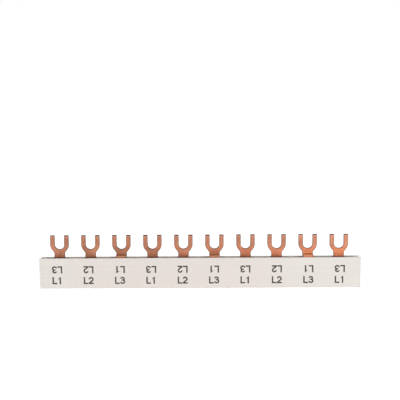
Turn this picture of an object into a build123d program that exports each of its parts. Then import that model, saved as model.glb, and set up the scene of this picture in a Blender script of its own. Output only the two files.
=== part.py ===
from build123d import *
import os

os.makedirs("parts", exist_ok=True)

# Comb busbar with three phases and fork terminals, in millimetres.
# X runs along the bar, the lettered face looks towards -Y and the forks point up.
# The origin is the centre of the underside.

# Row of forks: 1, 4, 7 ... belong to phase 1, the next ones to phase 2 and so on
fork_count = 10
phase_count = 3
fork_pitch = 17.8
left_margin = 10.95         # left cut end to the middle of the first fork
right_margin = 11.85        # middle of the last fork to the right cut end

# Insulating profile, an extrusion with one open-topped slot for each phase
profile_height = 17.6       # of the lettered front wall
rear_wall_drop = 0.4        # the rear wall ends this far below the front one
wall_thickness = 0.9
rib_thickness = 0.65
floor_thickness = 1.2
foot_radius = 0.6
rim_radius = 0.25
rib_tip_radius = 0.25

# Copper combs, stamped from strip and bent
strip_thickness = 1.2
slot_clearance = 0.1        # on each side of a strip
head_room = 3.2             # from a strip's upper edge to the rim of the profile
rib_rise = 0.8              # how far a rib stands above the strips beside it
strip_recess = 3.0          # from a cut end of the profile to the end of a strip
inner_bend_radius = 0.3     # of the tabs' bends
outer_bend_radius = 0.5     # the bends are pressed into sharp outer corners
tab_clearance = 0.15        # between a bent tab and the rib that it crosses
shelf_rise = 1.2            # the front phase's shelf stands this far above the rim

# Fork terminals
fork_width = 10.6
fork_slot_width = 5.4
fork_slot_depth = 8.1
shoulder_drop = 7.1         # from the tips to where the sides turn in towards the neck
flare_height = 3.0          # from there to the neck
neck_width = 6.05
neck_reach = 2.3            # from the rim of the profile to the top of the neck
shoulder_radius = 4.5
neck_fillet = 0.8
tip_fillet = 0.3
tip_lead_height = 0.5       # bevel across the front and back of each tip
tip_lead_depth = 0.28
rim_break = 0.2             # chamfer along the stamped outlines

# Sizes worked out from the ones above
slot_width = strip_thickness + 2 * slot_clearance
slot_spacing = slot_width + rib_thickness
profile_depth = (
    2 * wall_thickness + phase_count * slot_width + (phase_count - 1) * rib_thickness
)
inner_depth = profile_depth - 2 * wall_thickness
rear_rim = profile_height - rear_wall_drop
profile_length = left_margin + (fork_count - 1) * fork_pitch + right_margin
strip_height = profile_height - head_room - floor_thickness
strip_top = floor_thickness + strip_height
rib_top = strip_top + rib_rise
first_fork_x = left_margin - profile_length / 2
last_phase = phase_count - 1

neck_top = profile_height + neck_reach
fork_shoulder = neck_top + flare_height
fork_tip = fork_shoulder + shoulder_drop
fork_slot_radius = fork_slot_width / 2
fork_slot_centre = fork_tip - fork_slot_depth + fork_slot_radius


def strip_front(phase):
    """Y of a strip's front face: phase 0 lies in the rear slot, the last one in front."""
    rear_strip = profile_depth / 2 - wall_thickness - slot_clearance - strip_thickness
    return rear_strip - phase * slot_spacing


fork_front = strip_front(0)


def bend_radii(phase):
    """Outer and inner radius of a tab's bends, limited by how far the tab steps back."""
    most = 0.48 * (fork_front - strip_front(phase))
    return min(outer_bend_radius, most), min(inner_bend_radius, most)


def tab_shelf(phase):
    """Z of the upper face of a tab's level stretch, and of the foot of its upright neck."""
    if phase == 0:
        return strip_top, strip_top
    if phase == last_phase:
        shelf = profile_height + shelf_rise
    else:
        shelf = rib_top + tab_clearance + strip_thickness
    return shelf, shelf + 2 * bend_radii(phase)[1]


def corners_at(sketch, level):
    """Corners of a sketch at one level of its own vertical axis."""
    return [v for v in sketch.vertices() if abs(v.Y - level) < 1e-4]


# Insulating profile: outer walls up to the rim, lower ribs between the strips
with BuildPart() as insulating_profile:
    with BuildSketch(Plane.YZ.offset(-profile_length / 2)) as section:
        Rectangle(profile_depth, profile_height, align=(Align.CENTER, Align.MIN))
        fillet(corners_at(section, 0), foot_radius)
        with Locations((0, floor_thickness)):
            with GridLocations(slot_spacing, 0, phase_count, 1):
                Rectangle(
                    slot_width, profile_height, align=(Align.CENTER, Align.MIN), mode=Mode.SUBTRACT
                )
        with Locations((0, rib_top)):
            Rectangle(
                inner_depth, profile_height, align=(Align.CENTER, Align.MIN), mode=Mode.SUBTRACT
            )
        with Locations((profile_depth / 2, rear_rim)):
            Rectangle(
                2 * wall_thickness, profile_height, align=(Align.CENTER, Align.MIN), mode=Mode.SUBTRACT
            )
        fillet(corners_at(section, profile_height), rim_radius)
        fillet(corners_at(section, rear_rim), rim_radius)
        fillet(corners_at(section, rib_top), rib_tip_radius)
    extrude(amount=profile_length)
insulating_profile.part.label = "insulating_profile"
export_step(insulating_profile.part, "parts/insulating_profile.step")


def rims_above(faces, level):
    """Edges of the faces, apart from those that lie at one level or below it."""
    return [e for e in faces.edges() if e.bounding_box().max.Z > level + 1e-4]


def make_blade(foot):
    """One fork in the plane of the rear strip, at X = 0, with its neck cut off at the foot."""
    right_side = [
        (neck_width / 2, foot),
        (neck_width / 2, neck_top),
        (fork_width / 2, fork_shoulder),
        (fork_width / 2, fork_tip),
    ]
    left_side = [(-x, z) for x, z in reversed(right_side)]
    with BuildPart() as blade:
        with BuildSketch(Plane.XZ.offset(-fork_front - strip_thickness)) as outline:
            Polygon(*right_side, *left_side, align=None)
            fillet(corners_at(outline, neck_top), neck_fillet)
            fillet(corners_at(outline, fork_shoulder), shoulder_radius)
            with Locations((0, fork_slot_centre)):
                Circle(fork_slot_radius, mode=Mode.SUBTRACT)
                Rectangle(
                    fork_slot_width,
                    fork_slot_depth,
                    align=(Align.CENTER, Align.MIN),
                    mode=Mode.SUBTRACT,
                )
            fillet(corners_at(outline, fork_tip), tip_fillet)
        extrude(amount=strip_thickness)
        chamfer(rims_above(blade.faces().filter_by(Axis.Y), foot), rim_break)
        with BuildSketch(Plane.YZ):
            for face, inwards in ((fork_front, 1), (fork_front + strip_thickness, -1)):
                Polygon(
                    (face, fork_tip - tip_lead_height),
                    (face, fork_tip),
                    (face + inwards * tip_lead_depth, fork_tip),
                    align=None,
                )
        extrude(amount=fork_width, both=True, mode=Mode.SUBTRACT)
    return blade.part


def make_tab(phase):
    """The bent tab that leads from a strip back to the plane of the forks, at X = 0."""
    front = strip_front(phase)
    back = front + strip_thickness
    fork_back = fork_front + strip_thickness
    shelf_top, foot = tab_shelf(phase)
    shelf_bottom = shelf_top - strip_thickness
    root = strip_top - strip_thickness
    radii = bend_radii(phase)
    with BuildPart() as tab:
        with BuildSketch(Plane.YZ):
            with BuildLine():
                upper_side = FilletPolyline(
                    (front, root),
                    (front, shelf_top),
                    (fork_front, shelf_top),
                    (fork_front, foot),
                    radius=radii,
                )
                lower_side = FilletPolyline(
                    (fork_back, foot),
                    (fork_back, shelf_bottom),
                    (back, shelf_bottom),
                    (back, root),
                    radius=radii,
                )
                Line(upper_side @ 1, lower_side @ 0)
                Line(lower_side @ 1, upper_side @ 0)
            make_face()
        extrude(amount=neck_width / 2, both=True)
        rims = [e for e in tab.faces().filter_by(Axis.X).edges() if root < e.center().Z < foot]
        chamfer(rims, rim_break)
    return tab.part


# One comb for each phase: a strip on edge, with a bent tab and a fork at every third place
for phase in range(phase_count):
    fork_places = [
        first_fork_x + n * fork_pitch for n in range(fork_count) if n % phase_count == phase
    ]
    blade = make_blade(tab_shelf(phase)[1])
    tab = make_tab(phase) if phase > 0 else None

    with BuildPart() as comb:
        with BuildSketch(Plane.YZ.offset(strip_recess - profile_length / 2)):
            with Locations((strip_front(phase), floor_thickness)):
                Rectangle(strip_thickness, strip_height, align=(Align.MIN, Align.MIN))
        extrude(amount=profile_length - 2 * strip_recess)
        with Locations(*[(x, 0, 0) for x in fork_places]):
            add(blade)
            if tab:
                add(tab)

    comb.part.label = f"comb_l{phase + 1}"
    export_step(comb.part, f"parts/comb_l{phase + 1}.step")
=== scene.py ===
import math

import bmesh
import bpy
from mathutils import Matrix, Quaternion, Vector


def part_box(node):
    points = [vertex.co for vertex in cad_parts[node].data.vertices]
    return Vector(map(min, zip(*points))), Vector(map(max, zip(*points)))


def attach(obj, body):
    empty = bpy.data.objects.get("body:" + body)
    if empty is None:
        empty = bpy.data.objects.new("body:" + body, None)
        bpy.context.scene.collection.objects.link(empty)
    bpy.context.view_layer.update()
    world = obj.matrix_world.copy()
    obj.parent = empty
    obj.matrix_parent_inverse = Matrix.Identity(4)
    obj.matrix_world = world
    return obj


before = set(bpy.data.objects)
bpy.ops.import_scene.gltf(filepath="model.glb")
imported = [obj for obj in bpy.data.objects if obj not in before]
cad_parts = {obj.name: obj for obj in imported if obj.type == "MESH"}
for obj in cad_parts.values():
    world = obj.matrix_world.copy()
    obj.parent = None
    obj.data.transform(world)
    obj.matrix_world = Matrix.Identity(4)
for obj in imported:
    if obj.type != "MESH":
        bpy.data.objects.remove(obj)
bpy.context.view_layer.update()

# Looks of a three-phase comb busbar: finishes, phase marks, studio and camera.
# Lengths are in metres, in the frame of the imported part: X runs along the bar, the lettered
# face looks towards -Y, the forks point up and the origin is the centre of the underside.

MM = 0.001

# Sizes read from the frame
profile_low, profile_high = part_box("insulating_profile")
comb_boxes = [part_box(f"comb_l{phase}") for phase in (1, 2, 3)]
fork_tip = max(high.z for low, high in comb_boxes)
rim = profile_high.z
face = profile_low.y

# Phase marks, one pair for each fork: upright below, turned by half a turn above
fork_count = 10
phase_count = 3
mark_pitch = 17.89 * MM     # the print runs a little long against the forks' 17.8
mark_middle = profile_low.x + 90.65 * MM
cap_height = 4.15 * MM
stroke = 0.195              # width of a stroke, as a share of the cap height
letter_gaps = {"L": 0.0, "1": 0.17, "2": 0.06, "3": 0.07}    # in front of a glyph, same share
mark_width = 5.7 * MM       # taken for every mark, so that each L stands at the same place
lower_baseline = 2.65 * MM  # above the underside
upper_baseline = 13.1 * MM  # the turned marks hang down from here
ink_thickness = 0.015 * MM

# Studio
floor_reach = 3.0
floor_glow = 0.8
lamp_width = 0.8
lamp_height = 0.28

# Strengths of the world. Each fade has two values of one part of a direction, which is its
# height or how far it points away from the camera, and then the strength at each of them.
light_by_depth = (0.0, 0.6, 0.24, 0.75)
mirror_by_height = (0.10, 0.45, 1.0, 0.2)
mirror_by_depth = (-0.1, 0.1, 0.55, 1.0)

# Camera, fitted to the photograph
camera_place = (5.4 * MM, -489.0 * MM, 117.8 * MM)
camera_yaw = 0.589          # degrees to the left
camera_pitch = 7.859        # degrees down
camera_roll = -0.402        # degrees about the line of sight
lens_length = 78.3          # in millimetres, like the sensor
sensor_width = 36.0
nearest_seen = 0.01


def srgb(red, green, blue):
    """A colour written as 0 to 255 sRGB, as the linear RGBA that a socket takes."""
    shares = [c / 255 for c in (red, green, blue)]
    linear = [c / 12.92 if c <= 0.04045 else ((c + 0.055) / 1.055) ** 2.4 for c in shares]
    return (*linear, 1.0)


def add_piece(name, mesh, material):
    """The finished mesh as an object of that name in the scene."""
    data = bpy.data.meshes.new(name)
    mesh.to_mesh(data)
    mesh.free()
    data.materials.append(material)
    piece = bpy.data.objects.new(name, data)
    bpy.context.scene.collection.objects.link(piece)
    return piece


class Nodes:
    """A node tree, with short calls that add a node and fill its sockets."""

    def __init__(self, tree):
        self.tree = tree
        tree.nodes.clear()

    def add(self, kind, inputs=None, **settings):
        """A node of that kind. A value in inputs is a socket to link or a plain value."""
        made = self.tree.nodes.new(kind)
        for name, value in settings.items():
            setattr(made, name, value)
        for name, value in (inputs or {}).items():
            if isinstance(value, bpy.types.NodeSocket):
                self.tree.links.new(value, made.inputs[name])
            else:
                made.inputs[name].default_value = value
        return made

    def math(self, operation, *values):
        """The result of an operation such as "ADD" on sockets or plain values."""
        inputs = dict(enumerate(values))
        return self.add("ShaderNodeMath", inputs, operation=operation).outputs[0]

    def spread(self, value, low, high, to_low=0.0, to_high=1.0):
        """value taken from the range low to high onto another range, and held there."""
        inputs = {0: value, 1: low, 2: high, 3: to_low, 4: to_high}
        return self.add("ShaderNodeMapRange", inputs, clamp=True).outputs[0]

    def mix(self, share, first, second):
        """The first colour or value, with that share of the second one."""
        inputs = {0: share, 6: first, 7: second}
        return self.add("ShaderNodeMix", inputs, data_type="RGBA").outputs[2]

    def ray_kind(self, *names):
        """1 for a ray of one of those kinds, such as "Is Camera Ray", else 0."""
        path = self.add("ShaderNodeLightPath")
        kind = path.outputs[names[0]]
        for name in names[1:]:
            kind = self.math("MAXIMUM", kind, path.outputs[name])
        return kind


class Finish(Nodes):
    """A procedural material in the coordinates of the frame."""

    def __init__(self, name):
        self.material = bpy.data.materials.new(name)
        self.material.use_nodes = True
        super().__init__(self.material.node_tree)
        self.coordinates = self.add("ShaderNodeTexCoord")
        self.place = self.coordinates.outputs["Object"]
        self.along, _, self.height = self.parts(self.place)

    def parts(self, vector):
        """The three parts of a vector, as sockets."""
        return self.add("ShaderNodeSeparateXYZ", {0: vector}).outputs

    def noise(self, scale, detail=2.0, roughness=0.5, turn=(0, 0, 0)):
        """Noise from 0 to 1, mostly near 0.5, with scale cells to a metre along each axis."""
        mapping = {"Vector": self.place, "Rotation": turn, "Scale": scale}
        mapped = self.add("ShaderNodeMapping", mapping).outputs[0]
        inputs = {"Vector": mapped, "Scale": 1.0, "Detail": detail, "Roughness": roughness}
        return self.add("ShaderNodeTexNoise", inputs).outputs[0]

    def bump(self, height, depth, strength, normal):
        """The normal with relief of that depth on it, where height runs from 0 to 1."""
        inputs = {"Height": height, "Distance": depth, "Strength": strength, "Normal": normal}
        return self.add("ShaderNodeBump", inputs).outputs[0]

    def rounded(self, radius):
        """The normal with its edges rounded off to a radius."""
        return self.add("ShaderNodeBevel", {"Radius": radius}, samples=8).outputs[0]

    def normal_parts(self):
        """The three parts of the surface's own normal, as absolute values."""
        parts = self.parts(self.coordinates.outputs["Normal"])
        return [self.math("ABSOLUTE", part) for part in parts]

    def finish(self, **inputs):
        """Ends the tree with a surface of those inputs. The result is the material."""
        names = {"color": "Base Color", "roughness": "Roughness", "normal": "Normal",
                 "metallic": "Metallic", "level": "Specular IOR Level"}
        values = {names[name]: value for name, value in inputs.items()}
        surface = self.add("ShaderNodeBsdfPrincipled", values)
        self.add("ShaderNodeOutputMaterial", {"Surface": surface.outputs[0]})
        return self.material


def insulation_finish():
    """Pale warm grey extrusion: lines along its length, pinker in the middle, and sawn ends."""
    pinkish = srgb(237, 228, 223)
    neutral = srgb(237, 232, 226)
    line_grey = srgb(218, 212, 204)
    sawn_grey = srgb(222, 217, 210)
    sawn_pale = srgb(240, 237, 232)
    pink_middle = -14 * MM
    pink_until = 48 * MM        # to each side of the pink middle, as the next one
    neutral_from = 66 * MM

    made = Finish("insulation")
    across, _, _ = made.normal_parts()
    sawn = made.spread(across, 0.7, 0.9)

    off_middle = made.math("ABSOLUTE", made.math("SUBTRACT", made.along, pink_middle))
    drift = made.math("MULTIPLY_ADD", made.noise((40, 90, 90)), 0.6, -0.3)
    drift = made.math("ADD", drift, made.spread(off_middle, pink_until, neutral_from))
    lines = made.noise((14, 3200, 3200), detail=3.0, roughness=0.6)
    grain = made.noise((2600, 2600, 2600))
    saw_marks = made.noise((900, 420, 5200), detail=3.0, turn=(math.radians(8), 0, 0))

    tone = made.mix(made.spread(drift, 0.0, 1.0), pinkish, neutral)
    tone = made.mix(made.spread(lines, 0.35, 0.7, 0.0, 0.35), tone, line_grey)
    sawn_tone = made.mix(made.spread(saw_marks, 0.3, 0.7), sawn_grey, sawn_pale)
    color = made.mix(sawn, tone, sawn_tone)

    roughness = made.spread(lines, 0.3, 0.7, 0.5, 0.62)
    roughness = made.math("ADD", roughness, made.math("MULTIPLY", sawn, 0.3))

    relief = made.mix(sawn, lines, saw_marks)
    normal = made.rounded(0.15 * MM)
    normal = made.bump(relief, 0.02 * MM, 0.5, normal)
    normal = made.bump(grain, 0.008 * MM, 0.5, normal)
    return made.finish(color=color, roughness=roughness, normal=normal, level=0.3)


def copper_finish():
    """Bare copper strip: rolling lines, a little tarnish, and paler tips. Edges and sheared faces
    are darker, partly from tarnish and duller shear faces and partly as painted shade; the upward
    faces of the bends carry a painted highlight; and the necks are painted brighter and more orange
    towards the last fork, as painted light from the right side."""
    light_tone = srgb(170, 114, 90)
    dark_tone = srgb(138, 91, 72)
    rolled_tone = srgb(190, 134, 107)
    speck_tone = srgb(126, 84, 66)
    # Painted light: the necks are painted brighter and more orange towards the right, as light from
    # the right side would make them.
    painted_right_light_tone = srgb(192, 110, 70)
    tip_tone = srgb(186, 137, 119)
    # Darker rim on all edges, partly tarnish and partly painted shade of rounded edges turned away
    # from the light.
    edge_tarnish_and_shade_tone = srgb(122, 88, 74)
    # Painted highlight: the upward faces of the bends are painted bright, as if lit.
    bend_highlight_tone = srgb(255, 200, 160)
    # Sheared sides and tip tops: partly duller shear faces, partly painted shade of faces turned
    # away from the light.
    sheared_and_shade_tone = srgb(100, 72, 62)
    bends_under = rim + 1.4 * MM
    straight_above = rim + 1.5 * MM
    tip_from = fork_tip - 1.4 * MM
    tip_full = fork_tip - 0.8 * MM
    neck_from = fork_tip - 6 * MM
    neck_full = fork_tip - 9 * MM
    painted_right_light_from = -40 * MM      # along the bar, as the next one
    painted_right_light_full = 70 * MM

    made = Finish("copper")
    across, outward, upward = made.normal_parts()
    above_bends = made.spread(made.height, bends_under, straight_above)
    at_bends = made.math("SUBTRACT", 1.0, above_bends)
    # Painted highlight on the upward faces at the bends.
    bend_highlight = made.math("MULTIPLY", made.spread(upward, 0.1, 0.4), at_bends)
    level_top = made.math("MULTIPLY", made.spread(upward, 0.85, 0.98), at_bends)
    # Side faces, and faces above the bends that face neither front nor back, are darkened: partly
    # duller shear faces, partly painted shade.
    sheared_above = made.math("MULTIPLY", above_bends, made.spread(outward, 0.95, 0.6))
    sheared = made.math("MAXIMUM", made.spread(across, 0.2, 0.6), sheared_above)
    tips = made.spread(made.height, tip_from, tip_full, 0, 0.5)
    neck = made.spread(made.height, neck_from, neck_full)
    # Painted light from the right: the necks' colour rises from the left of the bar to the right.
    right_light_share = made.spread(made.along, painted_right_light_from, painted_right_light_full, 0, 0.5)
    painted_right_light = made.math("MULTIPLY", neck, right_light_share)

    rolling = made.noise((90, 4200, 4200), detail=3.0, roughness=0.6)
    shear_marks = made.noise((5200, 160, 5200))
    clouds = made.noise((130, 130, 130), detail=3.0, roughness=0.55)
    specks = made.noise((1500, 1500, 1500))

    soft_normal = made.rounded(0.3 * MM)
    own_normal = made.add("ShaderNodeNewGeometry").outputs["Normal"]
    normals = {0: soft_normal, 1: own_normal}
    facing = made.add("ShaderNodeVectorMath", normals, operation="DOT_PRODUCT")
    # Painted shade and tarnish on the edges: darker where the rounded normal turns away from the
    # surface's own.
    edge_tarnish_and_shade = made.spread(facing.outputs["Value"], 0.998, 0.95)

    tone = made.mix(made.spread(clouds, 0.35, 0.68), light_tone, dark_tone)
    tone = made.mix(made.spread(rolling, 0.45, 0.75, 0.0, 0.35), tone, rolled_tone)
    tone = made.mix(made.spread(specks, 0.58, 0.72, 0.0, 0.3), tone, speck_tone)
    tone = made.mix(painted_right_light, tone, painted_right_light_tone)
    tone = made.mix(tips, tone, tip_tone)
    tone = made.mix(made.math("MULTIPLY", edge_tarnish_and_shade, 0.5), tone, edge_tarnish_and_shade_tone)
    tone = made.mix(bend_highlight, tone, bend_highlight_tone)
    color = made.mix(made.math("MULTIPLY", sheared, 0.85), tone, sheared_and_shade_tone)

    roughness = made.spread(clouds, 0.3, 0.7, 0.34, 0.46)
    roughness = made.math("ADD", roughness, made.math("MULTIPLY", sheared, 0.12))
    roughness = made.math("SUBTRACT", roughness, made.math("MULTIPLY", level_top, 0.2))

    relief = made.mix(sheared, rolling, shear_marks)
    normal = made.bump(relief, 0.012 * MM, 0.5, soft_normal)
    normal = made.bump(clouds, 0.15 * MM, 0.4, normal)
    return made.finish(color=color, roughness=roughness, normal=normal, metallic=1.0)


def ink_finish():
    """Dark grey pad print, a little thinner in places."""
    full_tone = srgb(42, 40, 38)
    thin_tone = srgb(62, 59, 56)
    made = Finish("ink")
    cover = made.noise((1800, 1800, 1800))
    color = made.mix(made.spread(cover, 0.4, 0.75), full_tone, thin_tone)
    roughness = made.spread(cover, 0.3, 0.7, 0.5, 0.62)
    return made.finish(color=color, roughness=roughness)


def arc(centre, radius, start, end, steps=14, wider=0.0):
    """Points on an arc from one angle to another, in degrees, wider than high by 2 * wider."""
    angles = [math.radians(start + (end - start) * i / steps) for i in range(steps + 1)]
    across = radius + wider
    return [(centre[0] + across * math.cos(a), centre[1] + radius * math.sin(a)) for a in angles]


# Outlines of the glyphs, one closed polygon each, with the cap height as 1
half_stroke = stroke / 2


def glyph_l():
    """Stem and foot."""
    width = 0.64
    return [(0, 0), (width, 0), (width, stroke), (stroke, stroke), (stroke, 1), (0, 1)]


def glyph_1():
    """Stem, and a flag whose upper side curves up to the top."""
    width = 0.36
    stem = width - stroke
    flag_low, flag_high = 0.70, 0.80
    curve = arc((0, 1.03), 0.23, -80, -8, 6)
    outer = [(stem, 0), (width, 0), (width, 1), (width - 0.75 * stroke, 1)]
    return outer + curve[::-1] + [(0, flag_high), (0, flag_low), (stem, flag_low)]


def glyph_2():
    """Bowl, diagonal and foot. The diagonal leaves the bowl as its tangent."""
    width = 0.67
    radius = width / 2 - half_stroke
    centre = (width / 2, 1 - half_stroke - radius)
    begin, leave = 178, -50     # of the bowl, in degrees
    slope = math.radians(leave - 90)
    along = Vector((math.cos(slope), math.sin(slope)))
    outer, inner = radius + half_stroke, radius - half_stroke
    leave_at = Vector(arc(centre, 1, leave, leave, 1)[0]) - Vector(centre)
    right_edge = Vector(centre) + leave_at * outer
    left_edge = Vector(centre) + leave_at * inner
    foot_right = right_edge + along * ((stroke - right_edge.y) / along.y)
    foot_left = left_edge + along * (-left_edge.x / along.x)
    return (
        arc(centre, outer, begin, leave)
        + [tuple(foot_right), (width, stroke), (width, 0), (0, 0), tuple(foot_left)]
        + arc(centre, inner, leave, begin)
    )


def glyph_3():
    """Two bowls that meet in a short bar at the waist."""
    width = 0.69
    waist = 0.54
    wider = 0.035
    open_end = 176              # of the upper bowl, and mirrored of the lower one, in degrees
    notch_top, notch_low = -28, 40
    low_radius = (waist - half_stroke) / 2
    high_radius = (1 - half_stroke - waist) / 2
    low_centre = (width - half_stroke - low_radius - wider, half_stroke + low_radius)
    high_centre = (low_centre[0] - 0.01, waist + high_radius)
    bar_end = low_centre[0] - 0.12
    return (
        arc(high_centre, high_radius + half_stroke, open_end, notch_top, wider=wider)
        + arc(low_centre, low_radius + half_stroke, notch_low, -open_end, 20, wider)
        + arc(low_centre, low_radius - half_stroke, -open_end, 90, 20, wider)
        + [(bar_end, waist - half_stroke), (bar_end, waist + half_stroke)]
        + arc(high_centre, high_radius - half_stroke, -90, open_end, wider=wider)
    )


glyphs = {"L": glyph_l(), "1": glyph_1(), "2": glyph_2(), "3": glyph_3()}


def mark_outlines(text):
    """The outlines of a mark's glyphs in metres, from its left edge and its baseline."""
    outlines, left = [], 0.0
    for letter in text:
        left += letter_gaps[letter]
        outlines.append([((x + left) * cap_height, z * cap_height) for x, z in glyphs[letter]])
        left += max(x for x, z in glyphs[letter])
    return outlines


def add_mark(mesh, text, x, baseline, turned):
    """Lays a mark's glyphs on the face as thin closed slabs."""
    side = -1 if turned else 1
    left = x - side * mark_width / 2
    for outline in mark_outlines(text):
        corners = [mesh.verts.new((left + side * u, face, baseline + side * v)) for u, v in outline]
        slab = mesh.faces.new(corners)
        slab.normal_update()
        if slab.normal.y < 0:
            slab.normal_flip()
        grown = bmesh.ops.extrude_face_region(mesh, geom=[slab])
        moved = [v for v in grown["geom"] if isinstance(v, bmesh.types.BMVert)]
        bmesh.ops.translate(mesh, verts=moved, vec=(0, -ink_thickness, 0))


def make_phase_marks(material):
    """Both rows of marks as one piece, fixed to the profile."""
    mesh = bmesh.new()
    for number in range(fork_count):
        x = mark_middle + (number - (fork_count - 1) / 2) * mark_pitch
        phase = number % phase_count
        add_mark(mesh, f"L{phase + 1}", x, lower_baseline, turned=False)
        add_mark(mesh, f"L{phase_count - phase}", x, upper_baseline, turned=True)
    bmesh.ops.triangulate(mesh, faces=mesh.faces)
    bmesh.ops.recalc_face_normals(mesh, faces=mesh.faces)
    marks = add_piece("phase_marks", mesh, material)
    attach(marks, "root")


def set_material(node, material):
    """Puts one material into every slot of a node."""
    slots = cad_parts[node].data.materials
    if len(slots) == 0:
        slots.append(material)
    for index in range(len(slots)):
        slots[index] = material


def make_floor():
    """A white floor that takes the shadow, and glows a little where it is seen."""
    material = bpy.data.materials.new("studio_floor")
    material.use_nodes = True
    made = Nodes(material.node_tree)
    paint = made.add("ShaderNodeBsdfDiffuse", {"Color": (0.8, 0.8, 0.8, 1)}).outputs[0]
    seen = made.ray_kind("Is Camera Ray", "Is Glossy Ray", "Is Transmission Ray")
    strength = made.math("MULTIPLY", seen, floor_glow)
    glow = made.add("ShaderNodeEmission", {"Strength": strength}).outputs[0]
    both = made.add("ShaderNodeAddShader", {0: paint, 1: glow}).outputs[0]
    made.add("ShaderNodeOutputMaterial", {"Surface": both})

    mesh = bmesh.new()
    bmesh.ops.create_grid(mesh, x_segments=1, y_segments=1, size=floor_reach)
    floor = add_piece("studio_floor", mesh, material)


def make_world():
    """Soft light all round. The camera sees it white. A reflection sees it white where the
    background is, and dimmer overhead and on the camera's side of the studio."""
    world = bpy.data.worlds.new("studio")
    bpy.context.scene.world = world
    world.use_nodes = True
    made = Nodes(world.node_tree)

    def background(strength):
        inputs = {"Color": (1, 1, 1, 1), "Strength": strength}
        return made.add("ShaderNodeBackground", inputs).outputs[0]

    def choose(share, first, second):
        return made.add("ShaderNodeMixShader", {0: share, 1: first, 2: second}).outputs[0]

    direction = made.add("ShaderNodeTexCoord").outputs["Generated"]
    _, away, up = made.add("ShaderNodeSeparateXYZ", {0: direction}).outputs
    by_height = made.spread(up, *mirror_by_height)
    by_depth = made.spread(away, *mirror_by_depth)
    mirrored = background(made.math("MULTIPLY", by_height, by_depth))
    light = background(made.spread(away, *light_by_depth))

    in_mirror = made.ray_kind("Is Glossy Ray", "Is Transmission Ray")
    around = choose(in_mirror, light, mirrored)
    seen = choose(made.ray_kind("Is Camera Ray"), around, background(1.0))
    made.add("ShaderNodeOutputWorld", {"Surface": seen})


def make_lamp(name, place, power):
    """A soft box that stands upright and is turned towards the object."""
    data = bpy.data.lights.new(name, "AREA")
    data.energy = power
    data.shape = "RECTANGLE"
    data.size, data.size_y = lamp_width, lamp_height
    aim = (0, 0, place[2])
    lamp = bpy.data.objects.new(name, data)
    lamp.location = place
    lamp.rotation_euler = (Vector(aim) - Vector(place)).to_track_quat("-Z", "Y").to_euler()
    bpy.context.scene.collection.objects.link(lamp)


def make_camera():
    """The photograph's viewpoint: nearly square on, a little above, with a long lens."""
    data = bpy.data.cameras.new("camera")
    data.sensor_width = sensor_width
    data.lens = lens_length
    data.clip_start = nearest_seen
    camera = bpy.data.objects.new("camera", data)
    camera.location = camera_place
    turn = (
        Quaternion((0, 0, 1), math.radians(camera_yaw))
        @ Quaternion((1, 0, 0), math.radians(90) - math.radians(camera_pitch))
        @ Quaternion((0, 0, 1), math.radians(camera_roll))
    )
    camera.rotation_euler = turn.to_euler()
    bpy.context.scene.collection.objects.link(camera)
    bpy.context.scene.camera = camera


insulation = insulation_finish()
copper = copper_finish()
set_material("insulating_profile", insulation)
for phase in (1, 2, 3):
    set_material(f"comb_l{phase}", copper)
make_phase_marks(ink_finish())

make_floor()
make_world()
make_lamp("key_light", place=(0.72, -1.38, 0.16), power=12.0)
make_lamp("fill_light", place=(-0.80, -1.45, 0.16), power=7.1)
make_camera()
bpy.context.scene.view_settings.view_transform = "Standard"
